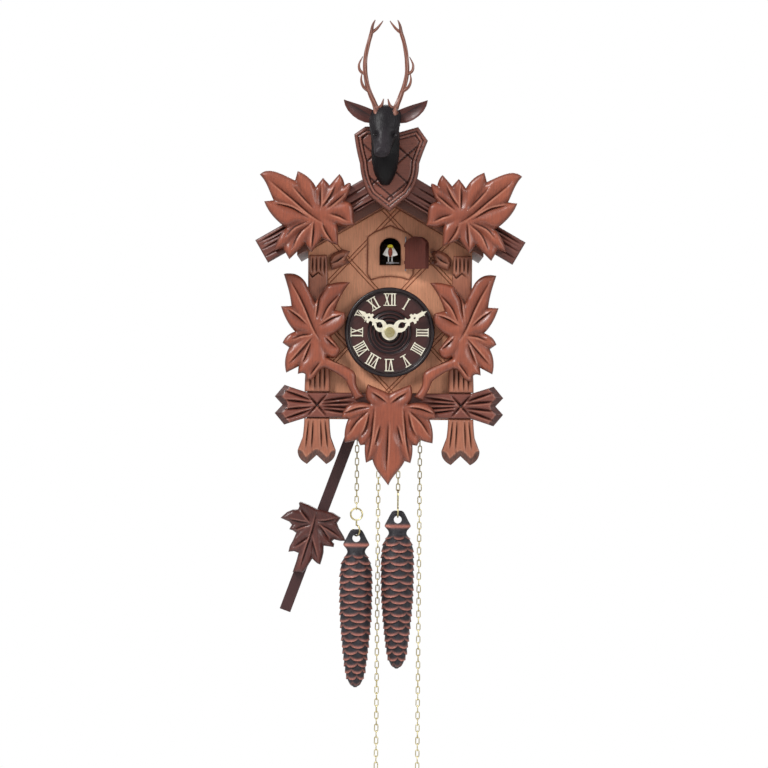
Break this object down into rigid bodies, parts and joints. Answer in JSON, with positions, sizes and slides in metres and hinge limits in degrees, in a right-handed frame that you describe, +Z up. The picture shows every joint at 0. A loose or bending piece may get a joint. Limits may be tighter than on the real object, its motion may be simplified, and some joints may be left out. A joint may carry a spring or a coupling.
{
  "type": "cuckoo clock",
  "caption": "Carved wooden wall clock with leaf fretwork, stag head, dial with Roman numerals, bird behind a small door, chain-hung cone weights and a leaf pendulum.",
  "frame": {"origin": "centre of the hanging hole at the wall face of the back rail", "axes": "+X to the viewer's right, +Y towards the wall, +Z up; the wall is the plane y = 0"},
  "size_m": [0.208, 0.1647, 0.6006],
  "materials": {
    "case_wood": "satin dark stain",
    "back_wood": "plain",
    "carved_wood": "satin stain, cut edges lighter",
    "post_wood": "satin dark stain",
    "shield_wood": "satin dark stain",
    "stag_wood": "near black",
    "antler_wood": "satin",
    "dial_wood": "semi gloss",
    "ivory_plastic": "satin",
    "brass": "polished",
    "steel": "bright",
    "gong_steel": "blued",
    "bird_paint": "painted",
    "door_wood": "satin",
    "guide_wood": "plain",
    "bellows_cloth": "matt",
    "weight_iron": "blackened with copper highlights",
    "pendulum_wood": "satin",
    "bob_wood": "satin"
  },
  "bodies": {
    "case": {"front_panel": "case_wood", "side_panel_left": "case_wood", "side_panel_right": "case_wood", "roof_panel_left": "case_wood", "roof_panel_right": "case_wood", "floor_panel": "case_wood", "back_rail": "back_wood", "side_leaf_left": "carved_wood", "side_leaf_right": "carved_wood", "top_leaf_left": "carved_wood", "top_leaf_right": "carved_wood", "bottom_leaf": "carved_wood", "post_left": "post_wood", "post_right": "post_wood", "cross_bar": "post_wood", "branch_left": "post_wood", "branch_right": "post_wood", "shield": "shield_wood", "stag_head": "stag_wood", "stag_ears": "stag_wood", "antlers": "antler_wood", "dial": "dial_wood", "dial_numerals": "ivory_plastic", "front_plate": "brass", "back_plate": "brass", "chain_wraps": "brass", "plate_pillars": "steel", "bird_door_wire": "steel", "gong_coil": "gong_steel", "bird_guide": "guide_wood", "whistle_left": "guide_wood", "whistle_right": "guide_wood", "bellows_cloths": "bellows_cloth"},
    "minute_hand_body": {"minute_arbor": "brass", "minute_hand": "ivory_plastic", "hand_nut": "brass"},
    "hour_hand_body": {"hour_wheel": "brass", "hour_hand": "ivory_plastic"},
    "minute_wheel_body": {"minute_wheel": "brass"},
    "going_weight": {"weight_chain_left": "brass", "weight_cone_left": "weight_iron"},
    "going_tail": {"chain_tail_left": "brass"},
    "going_wheel": {"great_wheel_left": "brass"},
    "escape": {"escape_wheel": "brass"},
    "strike_weight": {"weight_chain_right": "brass", "weight_cone_right": "weight_iron"},
    "strike_tail": {"chain_tail_right": "brass"},
    "strike_wheel": {"great_wheel_right": "brass"},
    "fly_body": {"fly": "steel"},
    "pendulum": {"pallet_arbor": "steel", "pendulum_rod": "pendulum_wood"},
    "bob": {"pendulum_bob": "bob_wood"},
    "bird_body": {"bird": "bird_paint", "bird_carriage": "steel"},
    "door": {"bird_door": "door_wood"},
    "bellows_top_left": {"bellows_board_left": "guide_wood"},
    "bellows_top_right": {"bellows_board_right": "guide_wood"},
    "hammer": {"gong_hammer": "steel"},
    "rear_door": {"back_door": "back_wood"}
  },
  "joints": [
    {"name": "minute_hand_turn", "type": "hinge", "parent": "case", "child": "minute_hand_body", "pos_m": [0, -0.1, -0.08], "axis": [0, 1, 0], "continuous": true},
    {"name": "hour_hand_turn", "type": "hinge", "parent": "case", "child": "hour_hand_body", "pos_m": [0, -0.09, -0.08], "axis": [0, 1, 0], "continuous": true},
    {"name": "minute_wheel_turn", "type": "hinge", "parent": "case", "child": "minute_wheel_body", "pos_m": [0, -0.08, -0.068], "axis": [0, 1, 0], "continuous": true},
    {"name": "going_weight_travel", "type": "slide", "parent": "case", "child": "going_weight", "axis": [0, 0, -1], "range_m": [-0.045, 0.045], "deforming": ["chain_wraps"]},
    {"name": "going_tail_travel", "type": "slide", "parent": "case", "child": "going_tail", "axis": [0, 0, -1], "range_m": [-0.046, 0.046]},
    {"name": "going_wheel_turn", "type": "hinge", "parent": "case", "child": "going_wheel", "pos_m": [-0.0163, -0.065, -0.095], "axis": [0, 1, 0], "range_deg": [-310, 310]},
    {"name": "escape_wheel_turn", "type": "hinge", "parent": "case", "child": "escape", "pos_m": [-0.0163, -0.055, -0.07904], "axis": [0, 1, 0], "range_deg": [-1860, 1860]},
    {"name": "strike_weight_travel", "type": "slide", "parent": "case", "child": "strike_weight", "axis": [0, 0, -1], "range_m": [-0.045, 0.045], "deforming": ["chain_wraps"]},
    {"name": "strike_tail_travel", "type": "slide", "parent": "case", "child": "strike_tail", "axis": [0, 0, -1], "range_m": [-0.046, 0.046]},
    {"name": "strike_wheel_turn", "type": "hinge", "parent": "case", "child": "strike_wheel", "pos_m": [0.0163, -0.065, -0.095], "axis": [0, 1, 0], "range_deg": [-310, 310]},
    {"name": "fly_turn", "type": "hinge", "parent": "case", "child": "fly_body", "pos_m": [0.0163, -0.055, -0.07904], "axis": [0, 1, 0], "range_deg": [-1860, 1860]},
    {"name": "pendulum_swing", "type": "hinge", "parent": "case", "child": "pendulum", "pos_m": [0, -0.045, -0.08], "axis": [0, 1, 0], "range_deg": [-40.4, 0]},
    {"name": "bob_adjust", "type": "slide", "parent": "pendulum", "child": "bob", "axis": [-0.3453, 0, -0.9385], "range_m": [-0.02, 0.035]},
    {"name": "bird_slide", "type": "slide", "parent": "case", "child": "bird_body", "axis": [0, 1, 0], "range_m": [0, 0.024]},
    {"name": "bird_door_swing", "type": "hinge", "parent": "case", "child": "door", "pos_m": [0.012, -0.0945, -0.0167], "axis": [0, 0, 1], "range_deg": [-140.5, 0.5]},
    {"name": "bellows_left_lift", "type": "hinge", "parent": "case", "child": "bellows_top_left", "pos_m": [-0.0505, -0.06, -0.041], "axis": [-1, 0, 0], "range_deg": [0, 14], "deforming": ["bellows_cloths"]},
    {"name": "bellows_right_lift", "type": "hinge", "parent": "case", "child": "bellows_top_right", "pos_m": [0.0505, -0.06, -0.041], "axis": [-1, 0, 0], "range_deg": [0, 14], "deforming": ["bellows_cloths"]},
    {"name": "gong_hammer_swing", "type": "hinge", "parent": "case", "child": "hammer", "pos_m": [-0.031, -0.0255, -0.055], "axis": [0, 1, 0], "range_deg": [0, 14]},
    {"name": "back_door_swing", "type": "hinge", "parent": "case", "child": "rear_door", "pos_m": [-0.0547, -0.003, -0.0865], "axis": [0, 0, 1], "range_deg": [0, 90]}
  ],
  "couplings": [
    {"joint": "hour_hand_turn", "follows": "minute_hand_turn", "ratio": 0.083333},
    {"joint": "minute_wheel_turn", "follows": "minute_hand_turn", "ratio": -0.33333},
    {"joint": "going_tail_travel", "follows": "going_weight_travel", "ratio": -1},
    {"joint": "going_wheel_turn", "follows": "going_weight_travel", "rad_per_m": -117.65},
    {"joint": "escape_wheel_turn", "follows": "going_weight_travel", "rad_per_m": 705.88},
    {"joint": "strike_tail_travel", "follows": "strike_weight_travel", "ratio": -1},
    {"joint": "strike_wheel_turn", "follows": "strike_weight_travel", "rad_per_m": -117.65},
    {"joint": "fly_turn", "follows": "strike_weight_travel", "rad_per_m": 705.88},
    {"joint": "bird_door_swing", "follows": "bird_slide", "rad_per_m": -101.81}
  ]
}
